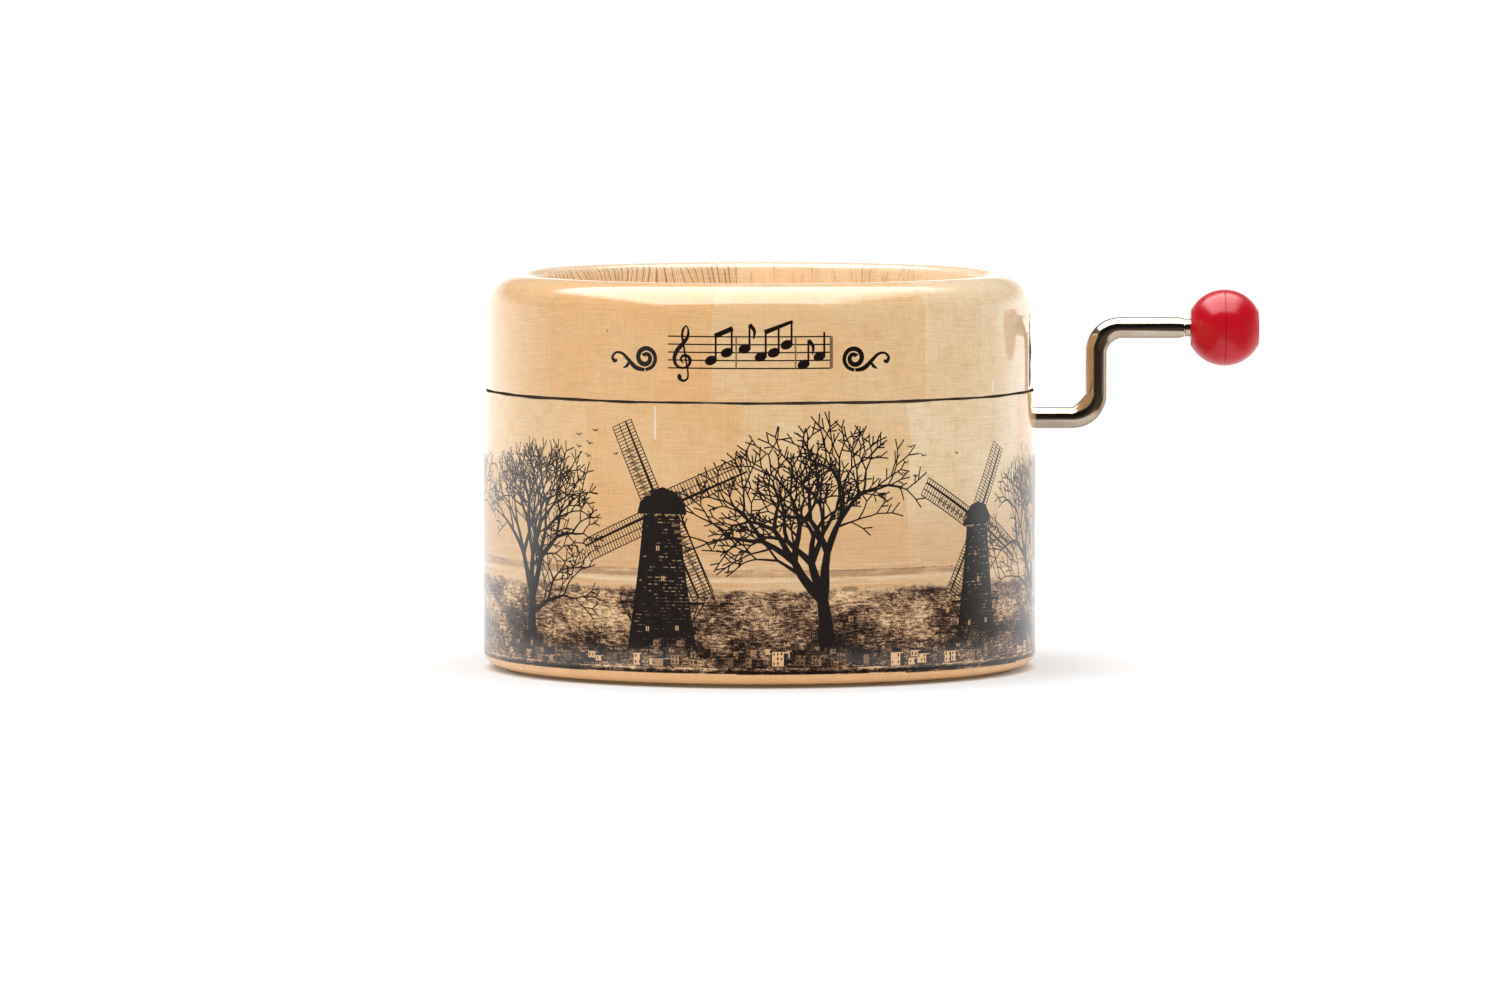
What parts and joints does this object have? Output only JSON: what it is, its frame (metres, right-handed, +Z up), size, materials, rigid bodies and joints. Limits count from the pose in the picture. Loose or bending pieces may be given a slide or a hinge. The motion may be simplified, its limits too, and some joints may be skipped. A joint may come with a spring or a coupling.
{
  "type": "hand-cranked music box",
  "caption": "Round printed-cardboard music box with a lift-off lid, a bent steel crank with a red ball knob, and a pinned drum and comb driven through a worm.",
  "frame": {"origin": "centre of the round base, on the surface that the box stands on", "axes": "+Z up along the axis of the round box; +X towards the crank, parallel to the crank rod; the printed front faces -Y"},
  "size_m": [0.0986, 0.07, 0.05],
  "materials": {
    "printed_paper": "sepia print under a thin gloss film",
    "plain_paper": "uncoated",
    "grey_board": "raw wound board",
    "fibreboard": "raw hardboard",
    "nickelled_steel": "nickel plated",
    "spring_steel": "ground",
    "zinc_casting": "satin die casting",
    "brass": "satin",
    "white_nylon": "moulded",
    "black_plastic": "moulded",
    "red_plastic": "semi-gloss"
  },
  "bodies": {
    "box": {"base_paper": "plain_paper", "base_board": "grey_board", "body_tube": "grey_board", "body_wrap": "printed_paper", "riser_ring": "grey_board", "platform": "fibreboard", "neck_tube": "grey_board", "bedplate": "zinc_casting", "comb": "spring_steel", "crank_bracket": "nickelled_steel", "comb_screw_1": "nickelled_steel", "comb_screw_2": "nickelled_steel", "bracket_screw_1": "nickelled_steel", "bracket_screw_2": "nickelled_steel", "bed_screw_1": "nickelled_steel", "bed_screw_2": "nickelled_steel", "bed_screw_3": "nickelled_steel", "drum_bush_front": "brass", "drum_bush_back": "brass"},
    "lid": {"lid_tube": "grey_board", "lid_panel": "grey_board", "lid_rim": "grey_board", "lid_wrap": "printed_paper", "lid_top_paper": "printed_paper", "lid_lining": "plain_paper"},
    "drum": {"drum_sleeve": "brass", "drum_cap_front": "black_plastic", "drum_cap_back": "black_plastic", "drum_arbor": "spring_steel", "worm_wheel": "white_nylon"},
    "crank": {"crank_rod": "nickelled_steel", "worm": "brass", "knob_pin": "nickelled_steel"},
    "knob": {"knob": "red_plastic"}
  },
  "joints": [
    {"name": "lid_lift", "type": "slide", "parent": "box", "child": "lid", "axis": [0, 0, 1], "range_m": [0, 0.03]},
    {"name": "crank_spin", "type": "hinge", "parent": "box", "child": "crank", "pos_m": [0.0429, 0.009, 0.0311], "axis": [1, 0, 0], "continuous": true},
    {"name": "drum_spin", "type": "hinge", "parent": "box", "child": "drum", "pos_m": [0.01, -0.0048, 0.0238], "axis": [0, 1, 0], "continuous": true},
    {"name": "knob_spin", "type": "hinge", "parent": "crank", "child": "knob", "pos_m": [0.05925, 0.009, 0.0426], "axis": [1, 0, 0], "continuous": true}
  ],
  "couplings": [
    {"joint": "drum_spin", "follows": "crank_spin", "ratio": -0.05}
  ]
}
